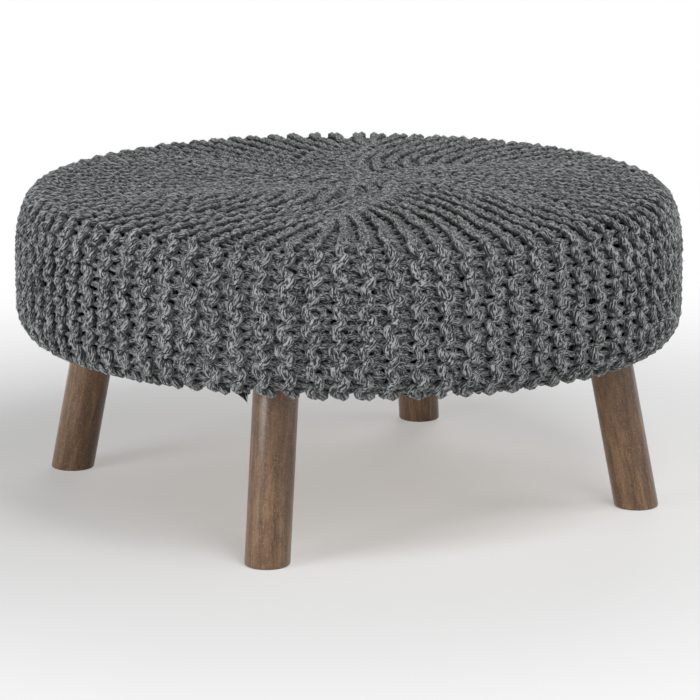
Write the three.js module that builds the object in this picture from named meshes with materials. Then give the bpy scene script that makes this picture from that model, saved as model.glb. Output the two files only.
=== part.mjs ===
// A round knitted floor ottoman: a filled cushion on a board with four splayed dowel legs.
// Millimetres, +Z up. The origin is on the floor, under the middle of the seat.

import * as THREE from 'three';

// ---- Driving dimensions --------------------------------------------------------------------

const SEAT_RADIUS = 400; // over the crests of the knitted ridges
const SEAT_UNDERSIDE = 198; // height of the cushion's lowest face above the floor
const SEAT_SIDE = 177; // from the lowest face up to the start of the crown
const SEAT_CROWN = 12; // rise of the top from its rim to its middle
const LOWER_RIM = { across: 30, up: 40 }; // the cover is drawn in under the cushion
const UPPER_RIM = { across: 34, up: 80 }; // the side leans in long before the top begins
const RIM_STEPS = 7;
const CROWN_STEPS = 5;
const RIDGES_ROUND = 84; // the cushion has one facet for each knitted ridge

const BOARD_RADIUS = 350;
const BOARD_THICKNESS = 12;
const BOARD_INSET = 8; // the board sits this far up inside the cushion's lower rim
const FIT_GAP = 0.3; // between the board and the cushion around it

const LEG_RADIUS = 26;
const FOOT_CIRCLE = 355; // distance of a foot's middle from the centre line
const TOP_CIRCLE = 315; // distance of a leg's middle from the centre line, at the board
const FOOT_EASE = 2.5; // rounding of the edge round each foot
const EASE_STEPS = 3;
const LEG_FACETS = 32;

const BOARD_UNDERSIDE = SEAT_UNDERSIDE + BOARD_INSET;
const LEGS = [
  { name: 'leg_back_right', degrees: 45 },
  { name: 'leg_back_left', degrees: 135 },
  { name: 'leg_front_left', degrees: 225 },
  { name: 'leg_front_right', degrees: 315 },
];

const yarn = new THREE.MeshStandardMaterial({ color: 0x5c5f60, roughness: 1.0, metalness: 0 });
const walnut = new THREE.MeshStandardMaterial({ color: 0x6b5140, roughness: 0.45, metalness: 0 });
const plywood = new THREE.MeshStandardMaterial({ color: 0xb59670, roughness: 0.7, metalness: 0 });

// ---- Shapes --------------------------------------------------------------------------------

// A quarter of an ellipse in the (radius, height) plane, from one angle to the next.
function quarter(centreRadius, centreHeight, rim, fromDegrees, steps) {
  const points = [];
  for (let i = 0; i <= steps; i += 1) {
    const angle = THREE.MathUtils.degToRad(fromDegrees + (90 * i) / steps);
    points.push(new THREE.Vector2(
      centreRadius + rim.across * Math.cos(angle),
      centreHeight + rim.up * Math.sin(angle),
    ));
  }
  return points;
}

// Turns a profile of (radius, height) points into a closed body about +Z.
function turned(profile, facets) {
  return new THREE.LatheGeometry(profile, facets).rotateX(Math.PI / 2);
}

// The filled cushion, with the shallow recess underneath that takes the board.
function seatGeometry() {
  const rimTop = SEAT_UNDERSIDE + SEAT_SIDE;
  const crownEdge = SEAT_RADIUS - UPPER_RIM.across;
  const recessRadius = BOARD_RADIUS + FIT_GAP;
  const recessTop = BOARD_UNDERSIDE + BOARD_THICKNESS + FIT_GAP;
  const profile = [
    new THREE.Vector2(0, recessTop),
    new THREE.Vector2(recessRadius, recessTop),
    new THREE.Vector2(recessRadius, SEAT_UNDERSIDE),
    ...quarter(SEAT_RADIUS - LOWER_RIM.across, SEAT_UNDERSIDE + LOWER_RIM.up, LOWER_RIM, -90, RIM_STEPS),
    ...quarter(crownEdge, rimTop - UPPER_RIM.up, UPPER_RIM, 0, RIM_STEPS),
  ];
  for (let i = CROWN_STEPS - 1; i >= 0; i -= 1) {
    const along = i / CROWN_STEPS;
    profile.push(new THREE.Vector2(crownEdge * along, rimTop + SEAT_CROWN * (1 - along * along)));
  }
  return turned(profile, RIDGES_ROUND);
}

function boardGeometry() {
  const profile = [
    new THREE.Vector2(0, BOARD_UNDERSIDE),
    new THREE.Vector2(BOARD_RADIUS, BOARD_UNDERSIDE),
    new THREE.Vector2(BOARD_RADIUS, BOARD_UNDERSIDE + BOARD_THICKNESS),
    new THREE.Vector2(0, BOARD_UNDERSIDE + BOARD_THICKNESS),
  ];
  return turned(profile, RIDGES_ROUND);
}

// A round dowel that leans in as it rises, cut level at the floor and at the board.
function legGeometry() {
  const ease = { across: FOOT_EASE, up: FOOT_EASE };
  const profile = [
    new THREE.Vector2(0, 0),
    ...quarter(LEG_RADIUS - FOOT_EASE, FOOT_EASE, ease, -90, EASE_STEPS),
    new THREE.Vector2(LEG_RADIUS, BOARD_UNDERSIDE),
    new THREE.Vector2(0, BOARD_UNDERSIDE),
  ];
  const lean = (FOOT_CIRCLE - TOP_CIRCLE) / BOARD_UNDERSIDE;
  const stretch = Math.hypot(1, lean); // a level cut through a leaning dowel is an ellipse
  const splay = new THREE.Matrix4().set(
    stretch, 0, -lean, 0,
    0, 1, 0, 0,
    0, 0, 1, 0,
    0, 0, 0, 1,
  );
  return turned(profile, LEG_FACETS).applyMatrix4(splay);
}

// ---- Assembly ------------------------------------------------------------------------------

const ottoman = new THREE.Group();

const seat = new THREE.Mesh(seatGeometry(), yarn);
seat.name = 'seat';
ottoman.add(seat);

const board = new THREE.Mesh(boardGeometry(), plywood);
board.name = 'base_board';
ottoman.add(board);

for (const { name, degrees } of LEGS) {
  const turn = THREE.MathUtils.degToRad(degrees);
  const leg = new THREE.Mesh(legGeometry(), walnut);
  leg.name = name;
  leg.rotation.z = turn;
  leg.position.set(FOOT_CIRCLE * Math.cos(turn), FOOT_CIRCLE * Math.sin(turn), 0);
  ottoman.add(leg);
}

export default ottoman;
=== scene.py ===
"""A round floor ottoman: a filled cushion in a bulky garter-stitch cover, on a board with four dowel legs.

Metres, +Z up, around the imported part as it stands. The cover is one yarn for each of six short-row wedges:
its rows climb the side of the cushion and swirl in to a point near the middle of the top.
"""

import math
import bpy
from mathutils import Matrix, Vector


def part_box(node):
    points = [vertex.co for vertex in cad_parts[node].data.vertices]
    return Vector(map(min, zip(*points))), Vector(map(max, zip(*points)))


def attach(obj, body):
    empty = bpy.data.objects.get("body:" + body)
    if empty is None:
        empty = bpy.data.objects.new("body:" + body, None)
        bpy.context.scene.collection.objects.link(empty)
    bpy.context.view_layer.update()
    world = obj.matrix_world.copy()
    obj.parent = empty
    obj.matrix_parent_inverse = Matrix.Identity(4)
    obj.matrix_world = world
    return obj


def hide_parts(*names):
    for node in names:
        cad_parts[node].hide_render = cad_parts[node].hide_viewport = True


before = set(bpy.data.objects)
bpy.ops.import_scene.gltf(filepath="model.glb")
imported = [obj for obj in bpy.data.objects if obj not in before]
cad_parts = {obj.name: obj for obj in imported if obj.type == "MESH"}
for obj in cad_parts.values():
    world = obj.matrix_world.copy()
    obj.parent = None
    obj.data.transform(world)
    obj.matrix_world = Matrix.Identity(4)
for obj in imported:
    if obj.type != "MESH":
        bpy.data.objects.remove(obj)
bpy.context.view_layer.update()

from types import SimpleNamespace

import bmesh
import bpy
import numpy as np
from mathutils import Matrix, Vector

MM = 0.001
FULL_TURN = 2 * math.pi
CLOSE = 0.1 * MM  # points this near each other count as one place

# ---- Sizes that the frame gives -------------------------------------------------------------

SEAT_LOW, SEAT_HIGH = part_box("seat")
SEAT_RADIUS = SEAT_HIGH[1]
SEAT_UNDERSIDE = SEAT_LOW[2]
SEAT_TOP = SEAT_HIGH[2]
BOARD_LOW, BOARD_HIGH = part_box("base_board")
BOARD_RADIUS = BOARD_HIGH[1]
LEG_LOW, LEG_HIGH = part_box("leg_back_right")

# ---- The cushion's own shape ----------------------------------------------------------------

CROWN_RISE = 12 * MM
LOWER_RIM = SimpleNamespace(across=30 * MM, up=40 * MM)
UPPER_RIM = SimpleNamespace(across=34 * MM, up=80 * MM)
SWELL_ROOM = 4 * MM  # the cushion starts this much smaller all round, and may swell this far
SWELL_FRAMES = 20
SEAT_GAP = 0.4 * MM  # between the cushion and the board
# Steps round the cushion, over each rim and over the crown, and the size of the faces that it swells with.
CUSHION_MESH = SimpleNamespace(round=120, rim=10, crown=12, face=8 * MM)

# ---- The knitting ---------------------------------------------------------------------------

STITCH = 22 * MM  # along a row
YARN_RADIUS = 5.1 * MM
LOOP_SWELL = 0.28  # the yarn is this much fuller at the heads and feet of its loops, and thinner between
KNIT_DEPTH = 5.6 * MM  # how far a loop swings in and out of the middle of the fabric
KNIT_INSET = KNIT_DEPTH + YARN_RADIUS * (1 + LOOP_SWELL)  # from the crests in to the middle of the fabric
CORE_DEPTH = KNIT_INSET + 4 * MM  # from the crests in to the cushion's cloth
HEM_RADIUS = 359 * MM  # where the cover ends, under the cushion
HANG = (1 * MM, 6.5 * MM)  # how far the knitting hangs below the cushion at the hem: least and most
HANG_ANGLE = math.radians(-15)  # where it hangs most
HANG_HEIGHT = 110 * MM  # how far up the side it pulls

WEDGES = 6
RIDGES = 14  # in a wedge
ROWS = 2 * RIDGES
WEDGE_ANGLE = FULL_TURN / WEDGES
FIRST_EDGE = math.radians(-130)  # where the first wedge begins, round the rim
FIRST_ROW = 1.5  # how far past its edge a wedge's first row lies, in rows
SWIRL_CENTRE = np.array([0.049, -0.086])  # in seat radii
SWIRL_TWIST = math.radians(59)  # how far a long ridge has turned when it reaches the middle
SWIRL_START, SWIRL_END = 0.88, 0.92  # pull of a ridge's two ends, in spans
SWIRL_HASTE = 0.81  # under 1, the ridges near a wedge's first edge turn faster
FIRST_END = 0.25  # how far in, along the ridge before it, a wedge's shortest ridge ends
# The crown of a wedge is worked out once, at this many places a row and this far apart along it, from the rim
# inwards, and for this many rows on either side of the wedge.
TABLE = SimpleNamespace(a_row=4, step=5 * MM, reach=0.46, before=1, after=2)

# How the loops differ between the side and the crown: the figures are for the side, then for the crown.
BULGES = (0.18, 0.25)  # how far a loop bulges past its own foot, in stitches
SQUARES = (-0.04, -0.09)  # flattens the heads and feet of the loops
OVERLAPS = (0.35, 0.32)  # how far the loops of a row reach into the next, in rows
LEANS = (0.35, 0.0)  # tilts the heads one way and the feet the other, in radians of a loop
TOP_FLATNESS = 0.1  # how much shallower the loops are on the crown
TOP_THINNESS = 0.38  # and how much thinner the yarn
# They change from the one to the other over this length of a row, and have changed this much at the rim.
RIM_BLEND = SimpleNamespace(length=60 * MM, at_rim=0.45)

BEAD = 0.12  # rounds the loops off where they dive in
LOOP_SPREAD = 0.08  # how unlike each other the loops are
LOOP_SHIFT = 18 * MM  # how far a spread of 1 would move them along the row
TUCK = 1 * MM  # a short row ends this far under the ridge it meets
END_FLATNESS = 0.7  # and its last loops are this much shallower
END_LENGTH = 30 * MM  # over this length
EVENED_STITCHES = 5  # the last ones, which take up what is left of a row's length
TURN_PULL = 14 * MM  # how wide the yarn swings out where it turns back
WANDER = 0.1  # how far the ridges wander from their places, in rows
WAVES = ((9, 31, 1.0), (-23, 47, 2.0), (41, 90, 4.0))  # waves in a round, radians a metre up, start
COVER_SEED = 11

POINTS_A_STITCH = 14
YARN_SIDES = 6
SLUB = 0.035  # how unevenly thick the yarn is
SLUB_SPACING, SLUB_SPARE = 9, 40  # between its thicker and thinner places, and past its end, in points
END_TAPER = 0.55  # the radius of the yarn's two ends, in its own

# ---- The yarn's map and its wool ------------------------------------------------------------

YARN_MAP = "OFBake"  # the name by which baked finishes keep this map
STRIPS = 14  # the yarn's map is laid in strips, one above the next
STRIP_LENGTH = 0.46
STRIP_MARGIN = 0.03  # of a strip's length and height, left empty round it
STRIP_FILL = 1 - 2 * STRIP_MARGIN
YARN_GAP = 20 * MM  # left empty on the strips between two yarns
END_MAP = np.array([[0, 0], [0, 0.06 / STRIPS], [0.004, 0.04 / STRIPS], [0.004, 0]])  # a side of a closed end

PLIES = 5
# How much shade is painted into the grooves between the plies.
PLY_GROOVE_PAINTED_SHADE = 0.3
TWIST_PITCH = 85 * MM
FIBRES_ROUND = 21
FIBRE_LENGTH = 3.8 * MM
PAINTED_FLANK_SHADES = (0.6, 0.85)  # painted shade: the wool's colour is darkened down the sides of the yarn, where the yarns shade each other: round the side, and on the crown
PAINTED_FLANK_SHADE_HEIGHTS = (330 * MM, 365 * MM)  # between which the painted shade changes, up the rounded rim

# ---- Loose wool -----------------------------------------------------------------------------

LOOSE_FIBRES = 15000  # in a piece of the cover
LOOSE_RADIUS = 0.18 * MM
LOOSE_LENGTHS = (3 * MM, 8 * MM)
LOOSE_TURN = SimpleNamespace(usual=0.8, most=1.6)  # how far round from the outside they stand, in radians
LOOSE_LIFT = 0.6  # the most that they stand up from the yarn, in radians
LOOSE_VEER = 0.35  # how much they lean aside, in the same
LOOSE_ROOT = 0.93  # in yarn radii

WISP_ANGLE = math.radians(-138.1)
WISP_RADIUS = 380 * MM
WISP_ROOT = 5 * MM  # above the cushion's underside, inside the hem
WISP_HANG = SimpleNamespace(out=1 * MM, along=6 * MM, down=11 * MM)  # from its root to where it points
WISP_FIBRES = 24
WISP_FIBRE_RADIUS = 0.8 * MM
WISP_LENGTHS = (7 * MM, 13 * MM)
WISP_SPREAD = SimpleNamespace(root=1.4 * MM, tip=0.9 * MM)
WISP_SEED = 3

# ---- The board and the legs -----------------------------------------------------------------

BOARD_EASE = 1.2 * MM
BOARD_SIDES = 128
PLY_THICKNESS = 1.7 * MM
LEG_RADIUS = 26 * MM
LEG_SIDES = 64
FOOT_EASE = 2.5 * MM
FOOT_CIRCLE = (LEG_HIGH[0] - LEG_RADIUS) * math.sqrt(2)  # from the middle of a foot to the centre line
LEG_TOP_CIRCLE = (LEG_LOW[0] + LEG_RADIUS) * math.sqrt(2)
NEXT_CUT = Vector((0.3, 0.17, 0))  # through the grain, from one leg to the next
SMOOTH_ANGLE = math.radians(35)

# ---- Camera, floor and light ----------------------------------------------------------------

VIEW_AZIMUTH, VIEW_ELEVATION = -30, 13.02  # degrees from the front, to the left, and up
VIEW_TARGET = Vector((0, 0, 0.16))
VIEW_DISTANCE = 4.465
LENS, SENSOR = 190, 36
LENS_SHIFT = (0.0016, 0.0105)
FLOOR_RADIUS = 12
FLOOR_FADE = SimpleNamespace(start=0.45, end=1.3, least=0.3)  # to white: between these circles, and the least
AMBIENT = 0.05  # how much the white background lights the object
LAMP_TARGET = Vector((0, 0, 0.25))
LAMP_SIZE, LAMP_DISTANCE = 1.4, 3.0
# Round from the camera to the right and up, in degrees, and watts.
LAMPS = (("left softbox", -54, 10, 46), ("upper right softbox", 32, 55, 38), ("front softbox", 20, 30, 17),
         ("right softbox", 88, 33, 15), ("back softbox", 170, 35, 22))


# ---- Shared tools ---------------------------------------------------------------------------

def smooth(x):
    """Eases from 0 to 1 while x goes from 0 to 1."""
    x = np.clip(x, 0, 1)
    return x * x * (3 - 2 * x)


def unit(ways):
    return ways / np.linalg.norm(ways, axis=1)[:, None]


def compass(angle):
    """The level direction at this angle from +X."""
    return np.stack([np.cos(angle), np.sin(angle)], -1)


def bend(t, start, start_pull, end, end_pull):
    """Points of a smooth curve that leaves its start and reaches its end along these pulls."""
    return ((2 * t**3 - 3 * t**2 + 1) * start + (t**3 - 2 * t**2 + t) * start_pull
            + (3 * t**2 - 2 * t**3) * end + (t**3 - t**2) * end_pull)


def run_along(line):
    """How far along a line each of its points lies."""
    return np.concatenate([[0], np.cumsum(np.linalg.norm(np.diff(line, axis=0), axis=1))])


def link(name, data):
    """A new object of this data, in the scene."""
    made = bpy.data.objects.new(name, data)
    bpy.context.collection.objects.link(made)
    return made


# ---- Shader sockets as numbers --------------------------------------------------------------

class Wire:
    """A shader socket that can be added, multiplied and so on."""

    def __init__(self, tree, socket):
        self.tree = tree
        self.socket = socket

    def maths(self, operation, *others):
        return node(self.tree, "ShaderNodeMath", dict(enumerate((self, *others))), operation=operation)

    def __add__(self, other):
        return self.maths("ADD", other)

    def __sub__(self, other):
        return self.maths("SUBTRACT", other)

    def __mul__(self, other):
        return self.maths("MULTIPLY", other)

    def __truediv__(self, other):
        return self.maths("DIVIDE", other)

    def __pow__(self, other):
        return self.maths("POWER", other)

    def __rsub__(self, other):
        return (self * -1) + other

    __radd__ = __add__
    __rmul__ = __mul__


def node(tree, kind, values=None, output=0, stops=None, **settings):
    """Adds a node: its settings first, then the values or links of its sockets. Gives one output."""
    made = tree.nodes.new(kind)
    for name, value in settings.items():
        setattr(made, name, value)
    if stops:
        ramp = made.color_ramp
        while len(ramp.elements) < len(stops):
            ramp.elements.new(0.5)
        for element, (place, colour) in zip(ramp.elements, stops):
            element.position = place
            element.color = (*colour, 1)
    for name, value in (values or {}).items():
        if isinstance(value, Wire):
            tree.links.new(value.socket, made.inputs[name])
        else:
            made.inputs[name].default_value = value
    return Wire(tree, made.outputs[output])


def object_place(tree):
    """Places on a piece, in metres."""
    return node(tree, "ShaderNodeTexCoord", output="Object")


def coordinate(place, axis):
    """The X, Y or Z of a place."""
    return node(place.tree, "ShaderNodeSeparateXYZ", {0: place}, output=axis)


def noise(place, scale=1.0, detail=2.0, roughness=0.5, twist=0.0):
    """Blotches at this many to a metre, or to a unit of the place."""
    return node(place.tree, "ShaderNodeTexNoise", {0: place, "Scale": scale, "Detail": detail,
                                                   "Roughness": roughness, "Distortion": twist})


def drawn_out(place, sizes, **settings):
    """Noise whose figure has about these sizes along X, Y and Z."""
    spread = node(place.tree, "ShaderNodeVectorMath", {0: place, 1: [1 / size for size in sizes]},
                  operation="MULTIPLY")
    return noise(spread, **settings)


def graded(value, start, end, first=0.0, last=1.0, **settings):
    """Goes from first to last while the value goes from start to end."""
    return node(value.tree, "ShaderNodeMapRange", {0: value, 1: start, 2: end, 3: first, 4: last}, **settings)


def coloured(value, *stops):
    """A colour for each value, between these stops."""
    return node(value.tree, "ShaderNodeValToRGB", {0: value}, stops=stops)


def mixed(share, first, second):
    """A colour between two."""
    return node(share.tree, "ShaderNodeMix", {0: share, 6: first, 7: second}, output=2, data_type="RGBA")


def new_material(name, **shader_values):
    """A material with only its shader and output. Gives it, its tree and the shader."""
    material = bpy.data.materials.new(name)
    material.use_nodes = True
    tree = material.node_tree
    shader = tree.nodes["Principled BSDF"]
    for socket, value in shader_values.items():
        shader.inputs[socket.replace("_", " ")].default_value = value
    return material, tree, shader


def feed(shader, relief=None, **wires):
    """Links wires to the shader's sockets, and a relief in metres to its normal."""
    if relief is not None:
        wires["Normal"] = node(relief.tree, "ShaderNodeBump",
                               {"Height": relief, "Strength": 1.0, "Distance": 1.0})
    for socket, wire in wires.items():
        wire.tree.links.new(wire.socket, shader.inputs[socket.replace("_", " ")])


def grey(value):
    return (value, value, value, 1)


# ---- Materials ------------------------------------------------------------------------------

def yarn_material():
    """Heathered charcoal wool, loosely plied.

    It reads the yarn's own map, along it and round it, and its height, for the shade painted down the yarn's
    flanks, darker on the crown.
    """
    material, tree, shader = new_material("charcoal wool", Roughness=0.9, Sheen_Weight=0.25,
                                          Sheen_Roughness=0.5, Specular_IOR_Level=0.3)
    place = node(tree, "ShaderNodeUVMap", uv_map=YARN_MAP)
    across = coordinate(place, "Y") * STRIPS
    strip = across.maths("FLOOR")
    along = (strip + (coordinate(place, "X") - STRIP_MARGIN) / STRIP_FILL) * STRIP_LENGTH
    turn = (across - strip - STRIP_MARGIN) / STRIP_FILL
    twisted = (turn - along / TWIST_PITCH) * FULL_TURN
    cosine, sine = twisted.maths("COSINE"), twisted.maths("SINE")

    def streaks(count, length, detail=1.0, start=0.0):
        """Noise in fibres that lie along the twist: how many round the yarn, and how long."""
        scale = count / FULL_TURN
        lie = {0: cosine * scale, 1: sine * scale, 2: along / length + start}
        return noise(node(tree, "ShaderNodeCombineXYZ", lie), detail=detail, roughness=0.6)

    fibres = streaks(FIBRES_ROUND, FIBRE_LENGTH)
    heather = streaks(7, 22 * MM, start=40)
    flecks = streaks(20, 6 * MM, detail=0.0, start=80)
    fading = streaks(3, 90 * MM, start=120)
    ply = (twisted * (PLIES / 2)).maths("SINE").maths("ABSOLUTE")
    colour = coloured(fibres * 0.85 + heather * 0.15,
                      (0.440, (0.0157, 0.0168, 0.0179)), (0.475, (0.0632, 0.0672, 0.0705)),
                      (0.535, (0.148, 0.156, 0.162)), (0.555, (0.432, 0.450, 0.460)))
    colour = mixed(graded(flecks, 0.68, 0.73) * 0.7, colour, (0.50, 0.50, 0.49, 1))
    colour = mixed(graded(fading, 0.3, 0.7, 0.0, 0.3), colour, (0.045, 0.049, 0.051, 1))
    # Painted shade: the colour is darkened down the flanks of the yarn, away from its outward side, more on
    # the crown than round the side.
    painted_flank_shade_mask = graded((turn * FULL_TURN).maths("COSINE"), 0.8, 0.0)
    painted_flank_shade_strength = graded(coordinate(object_place(tree), "Z"), *PAINTED_FLANK_SHADE_HEIGHTS, *PAINTED_FLANK_SHADES)
    colour = mixed(painted_flank_shade_mask * painted_flank_shade_strength, colour, (0.012, 0.013, 0.014, 1))
    # Painted shade: the colour is darkened in the grooves between the plies.
    painted_groove_shade = graded(ply, 0.0, 0.45, PLY_GROOVE_PAINTED_SHADE, 0.0)
    colour = mixed(painted_groove_shade, colour, (0.02, 0.021, 0.022, 1))
    feed(shader, relief=(ply ** 0.5 * 0.5 + fibres * 1.8) * MM, Base_Color=colour)
    return material


def loose_wool_material():
    """The paler single fibres that stand off the yarn."""
    material, tree, shader = new_material("loose wool", Specular_IOR_Level=0.3)
    strand = noise(object_place(tree), scale=130.0, detail=1.0)
    colour = coloured(strand, (0.40, (0.015, 0.016, 0.017)), (0.45, (0.20, 0.205, 0.208)),
                      (0.54, (0.80, 0.80, 0.79)))
    feed(shader, Base_Color=colour, Roughness=0.75 + strand * 0.2)
    return material


def wisp_material():
    """The darker wool of the yarn's end."""
    material, tree, shader = new_material("dark wool end", Roughness=0.9, Specular_IOR_Level=0.2)
    strand = noise(object_place(tree), scale=700.0, detail=1.0)
    feed(shader, Base_Color=coloured(strand, (0.4, (0.006, 0.006, 0.007)), (0.6, (0.035, 0.036, 0.038))))
    return material


def inner_cloth_material():
    """Dark felted cloth, which only shows between the stitches."""
    material, tree, shader = new_material("dark inner cloth", Roughness=0.95, Specular_IOR_Level=0.2)
    felt = noise(object_place(tree), scale=420.0, detail=3.0)
    colour = coloured(felt, (0.35, (0.09, 0.094, 0.097)), (0.65, (0.18, 0.185, 0.19)))
    feed(shader, relief=felt * (0.5 * MM), Base_Color=colour)
    return material


def plywood_material():
    """Sanded birch plywood: a long-grained face, and the plies as light and dark lines round the edge."""
    material, tree, shader = new_material("plywood", Specular_IOR_Level=0.35)
    place = object_place(tree)
    broad = drawn_out(place, (300 * MM, 18 * MM, 18 * MM))
    fine = drawn_out(place, (40 * MM, 1.2 * MM, 1.2 * MM))
    figure = broad * 0.6 + fine * 0.4
    colour = coloured(figure, (0.35, (0.36, 0.235, 0.125)), (0.5, (0.50, 0.35, 0.20)),
                      (0.65, (0.60, 0.45, 0.28)))
    plies = ((coordinate(place, "Z") - BOARD_LOW[2]) * (FULL_TURN / (2 * PLY_THICKNESS))).maths("SINE")
    level = node(tree, "ShaderNodeVectorMath", {0: place, 1: (1, 1, 0)}, operation="MULTIPLY")
    radius = node(tree, "ShaderNodeVectorMath", {0: level}, output="Value", operation="LENGTH")
    on_edge = radius.maths("GREATER_THAN", BOARD_RADIUS - 0.5 * MM)
    colour = mixed(graded(plies, -0.15, 0.15) * on_edge * 0.75, colour, (0.17, 0.095, 0.045, 1))
    feed(shader, relief=fine * (0.15 * MM), Base_Color=colour, Roughness=0.55 + figure * 0.2)
    return material


def stained_wood_material():
    """Golden walnut stain on a turned dowel: short curly grain and specks that follow each leg's own axis."""
    material, tree, shader = new_material("walnut stain", Specular_IOR_Level=0.4, Coat_Roughness=0.3)
    place = node(tree, "ShaderNodeAttribute", output="Vector", attribute_name="dowel")

    def grained(across, along, **settings):
        return drawn_out(place, (across, across, along), **settings)

    band = grained(11 * MM, 120 * MM, detail=1.0)
    streak = grained(2.4 * MM, 22 * MM)
    curl = grained(1.5 * MM, 3.6 * MM, detail=1.0, twist=1.2)
    mottle = grained(14 * MM, 24 * MM)
    colour = coloured(band * 0.4 + streak * 0.35 + curl * 0.1 + mottle * 0.15,
                      (0.41, (0.080, 0.047, 0.026)), (0.47, (0.124, 0.072, 0.040)),
                      (0.53, (0.180, 0.106, 0.058)), (0.59, (0.268, 0.165, 0.092)))
    warm = graded(grained(8 * MM, 60 * MM, detail=1.0), 0.45, 0.62)
    colour = mixed(warm * 0.3, colour, (0.185, 0.086, 0.038, 1))
    ruddy = graded(curl, 0.46, 0.58)
    colour = mixed(ruddy * 0.35, colour, (0.21, 0.103, 0.052, 1))
    specks = grained(0.9 * MM, 1.8 * MM, detail=0.0)
    colour = mixed(graded(specks, 0.62, 0.74) * 0.4, colour, (0.42, 0.30, 0.19, 1))
    pore = graded(specks, 0.38, 0.26)
    colour = mixed(pore * 0.35, colour, (0.045, 0.028, 0.019, 1))
    near_foot = graded(coordinate(place, "Z"), 0.0, 6 * MM, 1.0, 0.0)
    worn = graded(noise(place, scale=260.0, detail=3.0), 0.5, 0.66) * near_foot
    colour = mixed(worn * 0.45, colour, (0.36, 0.25, 0.16, 1))
    feed(shader, relief=(curl * 0.03 - pore * 0.05) * MM, Base_Color=colour,
         Roughness=0.24 + curl * 0.12 + worn * 0.3, Coat_Weight=0.15 - worn * 0.15)
    return material


# ---- The surface that the knitting lies on --------------------------------------------------

def rims(inset, steps):
    """The rounded lower and upper rims, this far inside the cushion's outline: radius and height points."""
    low_edge, high_edge = SEAT_RADIUS - LOWER_RIM.across, SEAT_RADIUS - UPPER_RIM.across
    low_middle, high_middle = SEAT_UNDERSIDE + LOWER_RIM.up, SEAT_TOP - CROWN_RISE - UPPER_RIM.up
    angles = np.linspace(0, math.pi / 2, steps)
    lower = [(low_edge + (LOWER_RIM.across - inset) * math.sin(a),
              low_middle - (LOWER_RIM.up - inset) * math.cos(a)) for a in angles]
    upper = [(high_edge + (UPPER_RIM.across - inset) * math.cos(a),
              high_middle + (UPPER_RIM.up - inset) * math.sin(a)) for a in angles]
    return lower, upper


def side_profile(steps=24):
    """The middle of the fabric up the side, from the hem to the crown: radius and height points."""
    lower, upper = rims(KNIT_INSET, steps)
    return np.array([(HEM_RADIUS, SEAT_UNDERSIDE + KNIT_INSET)] + lower + upper)


SIDE = side_profile()
SIDE_RUN = run_along(SIDE)
SIDE_LENGTH = SIDE_RUN[-1]
CROWN_EDGE, CROWN_FOOT = SIDE[-1]


def swept(start, start_pull, end, end_pull, fine=401, points=81):
    """A curve from start to end with these pulls, as evenly spaced points, and its length."""
    curve = bend(np.linspace(0, 1, fine)[:, None], start, start_pull, end, end_pull)
    run = run_along(curve)
    even = np.linspace(0, run[-1], points)
    return np.stack([np.interp(even, run, curve[:, n]) for n in (0, 1)], -1), run[-1]


def along_curve(curve, share):
    """The point at this share of an evenly spaced curve, past its end too."""
    place = share * (len(curve) - 1)
    first = int(np.clip(math.floor(place), 0, len(curve) - 2))
    return curve[first] + (curve[first + 1] - curve[first]) * (place - first)


def top_ridge(start_angle, end, end_angle):
    """A ridge over the crown, in plan, from the rim in to its end, and its length."""
    start = CROWN_EDGE * compass(start_angle)
    span = np.linalg.norm(end - start)
    return swept(start, -SWIRL_START * span * compass(start_angle), end,
                 -SWIRL_END * span * compass(end_angle))


CENTRE = SWIRL_CENTRE * SEAT_RADIUS
EDGE_ANGLES = [FIRST_EDGE + WEDGE_ANGLE * n for n in range(WEDGES)]
EDGE_RIDGES = [top_ridge(a, CENTRE, a + SWIRL_TWIST)[0] for a in EDGE_ANGLES]
TABLE_RUNS = np.arange(0, TABLE.reach, TABLE.step)


def wedge_table(wedge):
    """Points of the crown in one wedge, by part rows from its first edge and by distance from the rim."""
    table = []
    lengths = []
    for entry in range(TABLE.a_row * (TABLE.before + ROWS + TABLE.after)):
        share = (entry / TABLE.a_row - TABLE.before) / ROWS
        end = along_curve(EDGE_RIDGES[wedge], FIRST_END + (1 - FIRST_END) * min(share, 1))
        turned = (WEDGE_ANGLE + SWIRL_TWIST) * min(max(share, 0), 1) ** SWIRL_HASTE
        curve, length = top_ridge(EDGE_ANGLES[wedge] + WEDGE_ANGLE * share, end, EDGE_ANGLES[wedge] + turned)
        table.append([along_curve(curve, run / length) for run in TABLE_RUNS])
        lengths.append(length)
    return np.array(table), np.array(lengths)


def table_at(table, row, run):
    """Reads a wedge's table between its entries."""
    just_inside = 1.001
    row = np.clip((row + TABLE.before) * TABLE.a_row, 0, table.shape[0] - just_inside)
    run = np.clip(run / TABLE.step, 0, table.shape[1] - just_inside)
    i, j = row.astype(int), run.astype(int)
    past_row, past_run = (row - i)[:, None], (run - j)[:, None]
    here = table[i, j] * (1 - past_run) + table[i, j + 1] * past_run
    after = table[i + 1, j] * (1 - past_run) + table[i + 1, j + 1] * past_run
    return here * (1 - past_row) + after * past_row


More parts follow.
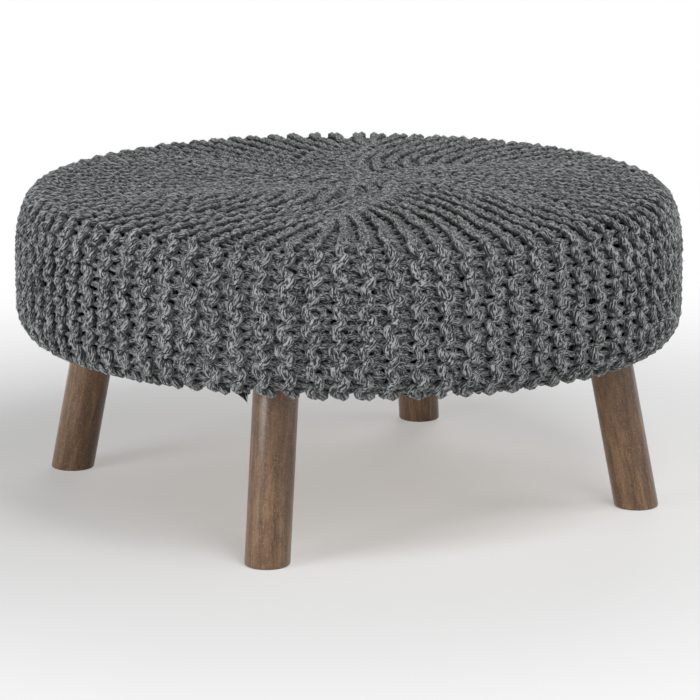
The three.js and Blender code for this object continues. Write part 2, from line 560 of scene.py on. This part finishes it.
class Wedge:
    """One short-row wedge of the cover: where a given row and distance from the hem lies."""

    def __init__(self, number):
        self.number = number
        self.table, self.lengths = wedge_table(number)

    def row_length(self, row):
        return SIDE_LENGTH + self.lengths[int(round((row + TABLE.before) * TABLE.a_row))]

    def side_point(self, row, run):
        """On the side: the middle of the fabric and its outward direction."""
        angle = EDGE_ANGLES[self.number] + WEDGE_ANGLE * row / ROWS
        out = compass(angle)
        run = np.clip(run, 0, SIDE_LENGTH)
        radius, height = [np.interp(run, SIDE_RUN, column) for column in SIDE.T]
        lower = smooth((SEAT_UNDERSIDE + HANG_HEIGHT - height) / (HANG_HEIGHT - KNIT_INSET))
        most = smooth(0.5 + 0.5 * np.cos(angle - HANG_ANGLE))
        hung = height - lower * (HANG[0] + (HANG[1] - HANG[0]) * most)
        # The slope of the profile gives the outward direction.
        reach = 2 * MM
        ahead, behind = np.minimum(run + reach, SIDE_LENGTH), np.maximum(run - reach, 0)
        widening, rise = [np.interp(ahead, SIDE_RUN, column) - np.interp(behind, SIDE_RUN, column)
                          for column in SIDE.T]
        return (np.column_stack([out * radius[:, None], hung]),
                np.column_stack([out * rise[:, None], -widening]))

    def top_point(self, row, run):
        """On the crown: the same."""
        flat = table_at(self.table, row, np.maximum(run - SIDE_LENGTH, 0))
        from_middle = np.linalg.norm(flat, axis=1) / CROWN_EDGE
        slope = 2 * CROWN_RISE / CROWN_EDGE**2
        return (np.column_stack([flat, CROWN_FOOT + CROWN_RISE * (1 - from_middle**2)]),
                np.column_stack([flat * slope, np.ones(len(flat))]))

    def point(self, row, run):
        """Middle of the fabric and its outward direction, for arrays of rows and runs."""
        on_top = (run > SIDE_LENGTH)[:, None]
        side, side_way = self.side_point(row, run)
        top, top_way = self.top_point(row, run)
        return np.where(on_top, top, side), unit(np.where(on_top, top_way, side_way))


# ---- Rows of garter stitch ------------------------------------------------------------------

def wander(row, run):
    """How far the knitting has slipped sideways at a place, in rows."""
    turn = FULL_TURN * row / (WEDGES * ROWS)
    return WANDER * sum(np.sin(around * turn + up * run + start) for around, up, start in WAVES)


def row_yarn(wedge, number, chance):
    """The middle line of one row's yarn, hem first, with its outward directions and how full it is."""
    row = number + FIRST_ROW
    front = 1 if number % 2 == 0 else -1  # every other row is knitted from the back
    length = wedge.row_length(row) + TUCK
    stitches = int(round(length / STITCH))
    phase = np.arange(stitches * POINTS_A_STITCH + 1) * (FULL_TURN / POINTS_A_STITCH)
    stitch = phase / FULL_TURN
    spread = chance.normal(1, LOOP_SPREAD, (3, stitches + 2))
    swell, reach, shift = [np.interp(stitch, np.arange(stitches + 2), s) for s in spread]
    evened = smooth((stitch - stitches + EVENED_STITCHES) / EVENED_STITCHES)
    run = stitch * STITCH + (length - stitches * STITCH) * evened
    on_top = smooth((run - SIDE_LENGTH) / RIM_BLEND.length + RIM_BLEND.at_rim)
    bulge, square, overlap, lean = [side + (top - side) * on_top
                                    for side, top in (BULGES, SQUARES, OVERLAPS, LEANS)]
    run = run + bulge * STITCH * np.sin(2 * phase) * swell + (shift - 1) * LOOP_SHIFT
    near_end = smooth((run - length) / END_LENGTH + 1)
    deep = KNIT_DEPTH * (1 - TOP_FLATNESS * on_top) * (1 - END_FLATNESS * near_end)
    # A loop swings across its row to the next one and back, and in and out of the fabric.
    swing = (0.5 + overlap) * reach * (np.cos(phase - lean) + square * np.cos(3 * phase))
    slip = wander(wedge.number * ROWS + row, run)
    middle, out = wedge.point(row + slip - swing, run)
    depth = -front * deep * (np.cos(phase) + BEAD * np.cos(3 * phase)) / (1 + BEAD)
    # Shallower loops of thinner yarn are lifted, so that their crests stay on the cushion's surface.
    depth = depth + (KNIT_DEPTH - deep) + YARN_RADIUS * (1 + LOOP_SWELL) * TOP_THINNESS * on_top
    fullness = (1 + LOOP_SWELL * np.cos(2 * phase)) * (1 - TOP_THINNESS * on_top)
    return np.column_stack([middle + out * depth[:, None], out, fullness])


def turn_between(last, after, steps=4):
    """The short bend of yarn that joins the end of one row to the start of the next."""
    t = (np.arange(1, steps) / steps)[:, None]
    leave, enter = unit(np.stack([last[-1, :3] - last[-2, :3], after[1, :3] - after[0, :3]])) * TURN_PULL
    turn = last[-1] * (1 - t) + after[0] * t
    turn[:, :3] = bend(t, last[-1, :3], leave, after[0, :3], enter)
    return turn


def wedge_yarn(wedge, chance):
    """One yarn through all the rows of a wedge, there and back, with a turn at the end of each row.

    Each line of it holds a point, the outward direction there and how full the yarn is.
    """
    rows = []
    for number in range(ROWS):
        row = row_yarn(wedge, number, chance)
        if number % 2:
            row = row[::-1]
        if rows:
            rows.append(turn_between(rows[-1], row))
        rows.append(row)
    return np.concatenate(rows)


# ---- The yarn as a mesh ---------------------------------------------------------------------

def tube(line, way, radius, sides):
    """Rings of points round a line, the first point of each ring on its outward side."""
    ahead = np.roll(line, -1, 0) - np.roll(line, 1, 0)
    ahead[0], ahead[-1] = line[1] - line[0], line[-1] - line[-2]
    ahead = unit(ahead)
    across = unit(np.cross(ahead, way))
    upright = np.cross(across, ahead)
    angle = (np.arange(sides) * (FULL_TURN / sides))[None, :, None]
    return line[:, None] + radius[:, None, None] * (upright[:, None] * np.cos(angle)
                                                    + across[:, None] * np.sin(angle))


def yarn_faces(first, count):
    """The faces of a yarn, from the number of its first point and of its rings: its side, then its ends."""
    side = np.arange(YARN_SIDES)
    after = (side + 1) % YARN_SIDES
    ring = first + np.arange(count - 1)[:, None] * YARN_SIDES
    next_ring = ring + YARN_SIDES
    around = np.stack([ring + side, ring + after, next_ring + after, next_ring + side], -1)
    last = first + (count - 1) * YARN_SIDES
    tip = np.full(YARN_SIDES, last + YARN_SIDES)
    first_end = np.stack([first + after, first + side, tip, tip], -1)
    last_end = np.stack([last + side, last + after, tip + 1, tip + 1], -1)
    return np.concatenate([around.reshape(-1, 4), first_end, last_end])


def yarn_places(run):
    """The map of those faces, for rings at these runs along the strips: the four corners of each."""
    strip = np.floor(run[:-1] / STRIP_LENGTH)[:, None]
    left, right = [STRIP_MARGIN + STRIP_FILL * (end[:, None] / STRIP_LENGTH - strip)
                   for end in (run[:-1], run[1:])]
    low = strip % STRIPS + STRIP_MARGIN + STRIP_FILL * np.arange(YARN_SIDES) / YARN_SIDES
    low, high = low / STRIPS, (low + STRIP_FILL / YARN_SIDES) / STRIPS
    around = np.stack([np.stack(np.broadcast_arrays(*corner), -1)
                       for corner in ((left, low), (left, high), (right, high), (right, low))], -2)
    ends = np.concatenate([around[0, :, 0], around[-1, :, 3]])
    return np.concatenate([around.reshape(-1, 2), (ends[:, None] + END_MAP).reshape(-1, 2)])


def yarn_mesh(name, yarns, chance):
    """One mesh of round yarn with closed ends, and the map in strips that its material reads."""
    points, faces, places = [], [], []
    first = 0
    run_before = 0.0
    for yarn in yarns:
        line, way, fullness = yarn[:, :3], yarn[:, 3:6], yarn[:, 6]
        count = len(line)
        slubs = np.arange(0, count + SLUB_SPARE, SLUB_SPACING)
        uneven = np.interp(np.arange(count), slubs, chance.normal(0, 1, len(slubs)))
        radius = YARN_RADIUS * fullness * (1 + SLUB * uneven)
        radius[[0, -1]] *= END_TAPER
        points += [tube(line, way, radius, YARN_SIDES).reshape(-1, 3), line[[0, -1]]]
        faces.append(yarn_faces(first, count))
        run = run_before + run_along(line)
        places.append(yarn_places(run))
        first += count * YARN_SIDES + 2
        run_before = run[-1] + YARN_GAP
    return build_mesh(name, np.concatenate(points), np.concatenate(faces), np.concatenate(places))


def build_mesh(name, points, faces, places=None):
    """A mesh object from arrays. A face whose last two corners are one point is a triangle."""
    three_sided = faces[:, 2] == faces[:, 3]
    kept = ~(three_sided[:, None] & (np.arange(4) == 3)).ravel()
    corners = faces.ravel()[kept]
    starts = np.concatenate([[0], np.cumsum(np.where(three_sided, 3, 4))[:-1]])
    mesh = bpy.data.meshes.new(name)
    mesh.vertices.add(len(points))
    mesh.vertices.foreach_set("co", points.astype(np.float32).ravel())
    mesh.loops.add(len(corners))
    mesh.loops.foreach_set("vertex_index", corners.astype(np.int32))
    mesh.polygons.add(len(faces))
    mesh.polygons.foreach_set("loop_start", starts.astype(np.int32))
    mesh.update(calc_edges=True)
    if places is not None:
        layer = mesh.uv_layers.new(name=YARN_MAP)
        layer.uv.foreach_set("vector", places[kept].astype(np.float32).ravel())
    mesh.polygons.foreach_set("use_smooth", np.ones(len(faces), bool))
    mesh.validate()
    return link(name, mesh)


# ---- Loose fibres ---------------------------------------------------------------------------

def spikes(name, root, way, away, length, radius):
    """Three-sided closed spikes, each from its root along its way."""
    side = unit(np.cross(way, away))
    other = np.cross(way, side)
    corners = [side * math.cos(a) + other * math.sin(a) for a in (0, FULL_TURN / 3, 2 * FULL_TURN / 3)]
    tip = root + way * length
    points = np.stack([root + c * radius for c in corners] + [tip], 1)
    spike = np.array([(2, 1, 0, 0), (0, 1, 3, 3), (1, 2, 3, 3), (2, 0, 3, 3)])
    faces = spike[None] + 4 * np.arange(len(root))[:, None, None]
    return build_mesh(name, points.reshape(-1, 3), faces.reshape(-1, 4))


def loose_fibres(name, line, chance):
    """Fine spikes of wool that lie along the yarn and stand off its outside."""
    spot = chance.integers(1, len(line) - 1, LOOSE_FIBRES)
    point, out, fullness = line[spot, :3], line[spot, 3:6], line[spot, 6]
    ahead = unit(line[spot + 1, :3] - line[spot - 1, :3])
    across = unit(np.cross(ahead, out))
    upright = np.cross(across, ahead)
    one_each = (LOOSE_FIBRES, 1)
    turn = np.clip(chance.normal(0, LOOSE_TURN.usual, one_each), -LOOSE_TURN.most, LOOSE_TURN.most)
    away = upright * np.cos(turn) + across * np.sin(turn)
    lift = chance.uniform(0.0, LOOSE_LIFT, one_each)
    veer = chance.normal(0, LOOSE_VEER, one_each)
    way = ahead * np.cos(lift) * chance.choice([-1, 1], one_each) + away * np.sin(lift)
    way = unit(way + np.cross(way, away) * veer)
    root = point + away * (YARN_RADIUS * LOOSE_ROOT * fullness)[:, None]
    return spikes(name, root, way, away, chance.uniform(*LOOSE_LENGTHS, one_each), LOOSE_RADIUS)


# ---- The cover and its yarn's end -----------------------------------------------------------

def knit_cover():
    """The cover, in three pieces of two facing wedges each, and the wool that stands off them."""
    wool = yarn_material()
    loose_wool = loose_wool_material()
    for pair in range(WEDGES // 2):
        chance = np.random.default_rng(COVER_SEED + pair)
        yarns = [wedge_yarn(Wedge(n), chance) for n in (pair, pair + WEDGES // 2)]
        piece = yarn_mesh(f"knit_cover_{pair + 1}", yarns, chance)
        piece.data.materials.append(wool)
        fuzz = loose_fibres(f"loose_wool_{pair + 1}", np.concatenate(yarns), chance)
        fuzz.data.materials.append(loose_wool)
        for made in (piece, fuzz):
            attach(made, "root")


def yarn_end():
    """The wisp of dark wool, under the hem by a front leg, where the yarn was finished off."""
    chance = np.random.default_rng(WISP_SEED)
    outward = compass(WISP_ANGLE)
    sideways = compass(WISP_ANGLE + FULL_TURN / 4)
    root = np.array([*(outward * WISP_RADIUS), SEAT_UNDERSIDE + WISP_ROOT])
    tip = root + np.array([*(outward * WISP_HANG.out + sideways * WISP_HANG.along), -WISP_HANG.down])
    roots = root + chance.normal(0, WISP_SPREAD.root, (WISP_FIBRES, 3))
    way = unit(tip + chance.normal(0, WISP_SPREAD.tip, (WISP_FIBRES, 3)) - roots)
    away = np.tile([*outward, 0], (WISP_FIBRES, 1))
    wisp = spikes("yarn_end", roots, way, away, chance.uniform(*WISP_LENGTHS, (WISP_FIBRES, 1)),
                  WISP_FIBRE_RADIUS)
    wisp.data.materials.append(wisp_material())
    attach(wisp, "root")


# ---- The filled cushion under the cover -----------------------------------------------------

def cushion_form():
    """The cushion before it is filled: spun round, a little smaller than it will be."""
    inset = CORE_DEPTH + SWELL_ROOM
    lower, upper = rims(inset, CUSHION_MESH.rim)
    bottom = BOARD_HIGH[2] + SWELL_ROOM
    profile = [(0, bottom), (SEAT_RADIUS - LOWER_RIM.across, bottom)]
    profile += [(radius, max(height, bottom)) for radius, height in lower]
    profile += upper
    edge, shoulder = upper[-1]
    for step in range(1, CUSHION_MESH.crown + 1):
        out = 1 - step / CUSHION_MESH.crown
        profile.append((edge * out, shoulder + CROWN_RISE * (1 - out**2)))
    form = bmesh.new()
    ring = [form.verts.new((radius, 0, height)) for radius, height in profile]
    edges = [form.edges.new(pair) for pair in zip(ring[:-1], ring[1:])]
    bmesh.ops.spin(form, geom=ring + edges, cent=(0, 0, 0), axis=(0, 0, 1), angle=FULL_TURN,
                   steps=CUSHION_MESH.round)
    bmesh.ops.remove_doubles(form, verts=form.verts, dist=CLOSE)
    bmesh.ops.recalc_face_normals(form, faces=form.faces)
    mesh = bpy.data.meshes.new("cushion")
    form.to_mesh(mesh)
    form.free()
    return link("cushion", mesh)


def corner_points(mesh):
    """Where a mesh's corners lie."""
    points = np.empty(len(mesh.vertices) * 3)
    mesh.vertices.foreach_get("co", points)
    return points.reshape(-1, 3)


def fill_cushion(cushion):
    """Blows the cushion up as cloth, keeps each point near its start and off the board, and applies it."""
    bpy.ops.object.select_all(action="DESELECT")
    cushion.select_set(True)
    bpy.context.view_layer.objects.active = cushion
    remesh = cushion.modifiers.new("even", "REMESH")
    remesh.mode = "VOXEL"
    remesh.voxel_size = CUSHION_MESH.face
    bpy.ops.object.modifier_apply(modifier="even")
    start = corner_points(cushion.data)
    cloth = cushion.modifiers.new("filling", "CLOTH")
    cloth.settings.quality = 4
    cloth.settings.mass = 0.4
    cloth.settings.use_pressure = True
    cloth.settings.uniform_pressure_force = 4
    cloth.settings.effector_weights.gravity = 0
    cloth.collision_settings.use_self_collision = False
    cloth.point_cache.frame_start, cloth.point_cache.frame_end = 1, SWELL_FRAMES
    for moment in range(1, SWELL_FRAMES + 1):
        bpy.context.scene.frame_set(moment)
    filled = cushion.evaluated_get(bpy.context.evaluated_depsgraph_get())
    moved = corner_points(filled.data) - start
    cushion.modifiers.clear()
    bpy.context.scene.frame_set(1)
    far = np.linalg.norm(moved, axis=1)[:, None]
    settled = start + moved * (np.minimum(far, SWELL_ROOM) / np.maximum(far, 0.001 * MM))
    settled[:, 2] = np.maximum(settled[:, 2], BOARD_HIGH[2] + SEAT_GAP)
    cushion.data.vertices.foreach_set("co", settled.ravel())
    cushion.data.update()
    smoother = cushion.modifiers.new("smoother", "SUBSURF")
    smoother.levels = smoother.render_levels = 1
    bpy.ops.object.modifier_apply(modifier="smoother")


def cushion_core():
    """The filled cushion itself. Only its dark cloth shows, between the stitches."""
    cushion = cushion_form()
    fill_cushion(cushion)
    mesh = cushion.data
    mesh.polygons.foreach_set("use_smooth", np.ones(len(mesh.polygons), bool))
    mesh.materials.append(inner_cloth_material())
    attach(cushion, "root")
    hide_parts("seat")


# ---- The board and the legs -----------------------------------------------------------------

def edit(chosen, mode="VERT"):
    """Goes into edit mode with only the chosen vertices or edges of the active object selected."""
    bpy.ops.object.mode_set(mode="EDIT")
    bpy.ops.mesh.select_mode(type=mode)
    bpy.ops.mesh.select_all(action="DESELECT")
    form = bmesh.from_edit_mesh(bpy.context.object.data)
    for part in form.verts if mode == "VERT" else form.edges:
        part.select_set(chosen(part))
    form.select_flush_mode()
    bmesh.update_edit_mesh(bpy.context.object.data)


def done_editing():
    bpy.ops.object.mode_set(mode="OBJECT")


def round_bar(name, radius, low, high, vertices):
    """A closed cylinder standing on its place, selected and active."""
    bpy.ops.object.select_all(action="DESELECT")
    bpy.ops.mesh.primitive_cylinder_add(vertices=vertices, radius=radius, depth=high - low,
                                        location=(0, 0, (low + high) / 2))
    made = bpy.context.object
    made.name = made.data.name = name
    bpy.ops.object.transform_apply(location=True, rotation=False, scale=False)
    return made


def ease_rim(height, width, segments):
    """Rounds off the active cylinder's edge at this height."""
    edit(lambda edge: all(abs(v.co.z - height) < CLOSE for v in edge.verts), "EDGE")
    bpy.ops.mesh.bevel(offset=width, segments=segments, affect="EDGES")
    done_editing()


def base_board():
    """The round plywood board that the legs are fixed to, with its sharp edges taken off."""
    board = round_bar("board", BOARD_RADIUS, BOARD_LOW[2], BOARD_HIGH[2], BOARD_SIDES)
    for height in (BOARD_LOW[2], BOARD_HIGH[2]):
        ease_rim(height, BOARD_EASE, 2)
    bpy.ops.object.shade_smooth_by_angle(angle=SMOOTH_ANGLE)
    board.data.materials.append(plywood_material())
    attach(board, "root")
    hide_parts("base_board")


def dowel_leg():
    """One leg under the +X side, leaning in as it rises, cut level at both ends."""
    height = BOARD_LOW[2]
    leg = round_bar("leg", LEG_RADIUS, 0, height, LEG_SIDES)
    ease_rim(0, FOOT_EASE, 4)
    bpy.ops.object.shade_smooth_by_angle(angle=SMOOTH_ANGLE)
    grain = leg.data.attributes.new("dowel", "FLOAT_VECTOR", "POINT")
    grain.data.foreach_set("vector", [c for v in leg.data.vertices for c in v.co])
    lean = FOOT_CIRCLE - LEG_TOP_CIRCLE
    edit(lambda vertex: True)
    bpy.ops.transform.resize(value=(math.hypot(1, lean / height), 1, 1), center_override=(0, 0, 0))
    bpy.ops.transform.translate(value=(FOOT_CIRCLE, 0, 0))
    done_editing()
    edit(lambda vertex: vertex.co.z > height / 2)
    bpy.ops.transform.translate(value=(-lean, 0, 0))
    done_editing()
    return leg


def legs():
    """Four copies of the leg on the diagonals, each cut from another stretch of the dowel."""
    pattern = dowel_leg()
    wood = stained_wood_material()
    for turn, name in enumerate(("back_right", "back_left", "front_left", "front_right")):
        mesh = pattern.data.copy()
        mesh.transform(Matrix.Rotation(math.radians(45 + 90 * turn), 4, "Z"))
        leg = link(f"dowel_leg_{name}", mesh)
        for place in mesh.attributes["dowel"].data:
            place.vector = place.vector + NEXT_CUT * turn
        mesh.materials.append(wood)
        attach(leg, "root")
        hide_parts(f"leg_{name}")
    bpy.data.objects.remove(pattern)


# ---- Camera, floor and light ----------------------------------------------------------------

def heading(azimuth, elevation):
    """The direction this many degrees round from the front, to the right, and this many up."""
    azimuth, elevation = math.radians(azimuth), math.radians(elevation)
    level = math.cos(elevation)
    return Vector((math.sin(azimuth) * level, -math.cos(azimuth) * level, math.sin(elevation)))


def aimed(name, data, target, away, distance):
    """A camera or lamp that looks at the target from this way and distance."""
    made = link(name, data)
    made.location = target + away * distance
    made.rotation_euler = (-away).to_track_quat("-Z", "Y").to_euler()
    return made


def place_camera():
    """Three-quarter view from the front left, a little above the seat."""
    data = bpy.data.cameras.new("camera")
    data.lens = LENS
    data.sensor_width = SENSOR
    data.shift_x, data.shift_y = LENS_SHIFT
    data.clip_end = 50
    away = heading(VIEW_AZIMUTH, VIEW_ELEVATION)
    bpy.context.scene.camera = aimed("camera", data, VIEW_TARGET, away, VIEW_DISTANCE)


def seen_directly(tree):
    """1 for rays from the camera, or by way of gloss or glass."""
    camera, glossy, glass = [node(tree, "ShaderNodeLightPath", output=ray)
                             for ray in ("Is Camera Ray", "Is Glossy Ray", "Is Transmission Ray")]
    return camera.maths("MAXIMUM", glossy).maths("MAXIMUM", glass)


def floor_material():
    """Pale and matt, fading to plain white away from the object, with the object's shadow on it."""
    material, tree, shader = new_material("pale floor", Base_Color=grey(0.86), Roughness=0.95,
                                          Specular_IOR_Level=0.1)
    reach = node(tree, "ShaderNodeVectorMath", {0: object_place(tree)}, output="Value", operation="LENGTH")
    fade = graded(reach, FLOOR_FADE.start, FLOOR_FADE.end, FLOOR_FADE.least, interpolation_type="SMOOTHSTEP")
    painted = Wire(tree, shader.outputs["BSDF"])
    white = node(tree, "ShaderNodeEmission", {0: grey(1), 1: 1.0})
    blend = node(tree, "ShaderNodeMixShader", {0: fade * seen_directly(tree), 1: painted, 2: white})
    tree.links.new(blend.socket, tree.nodes["Material Output"].inputs["Surface"])
    return material


def stage():
    """The floor, the white background and the lamps."""
    bpy.ops.mesh.primitive_circle_add(vertices=96, radius=FLOOR_RADIUS, fill_type="NGON", location=(0, 0, 0))
    floor = bpy.context.object
    floor.name = "floor"
    floor.data.materials.append(floor_material())
    world = bpy.data.worlds.new("studio")
    bpy.context.scene.world = world
    world.use_nodes = True
    tree = world.node_tree
    colour, strength = tree.nodes["Background"].inputs[:2]
    colour.default_value = grey(1)
    tree.links.new((seen_directly(tree) * (1 - AMBIENT) + AMBIENT).socket, strength)
    for name, azimuth, elevation, power in LAMPS:
        data = bpy.data.lights.new(name, "AREA")
        data.size = LAMP_SIZE
        data.energy = power
        aimed(name, data, LAMP_TARGET, heading(VIEW_AZIMUTH + azimuth, elevation), LAMP_DISTANCE)
    bpy.context.scene.view_settings.view_transform = "Standard"


place_camera()
cushion_core()
knit_cover()
yarn_end()
base_board()
legs()
stage()
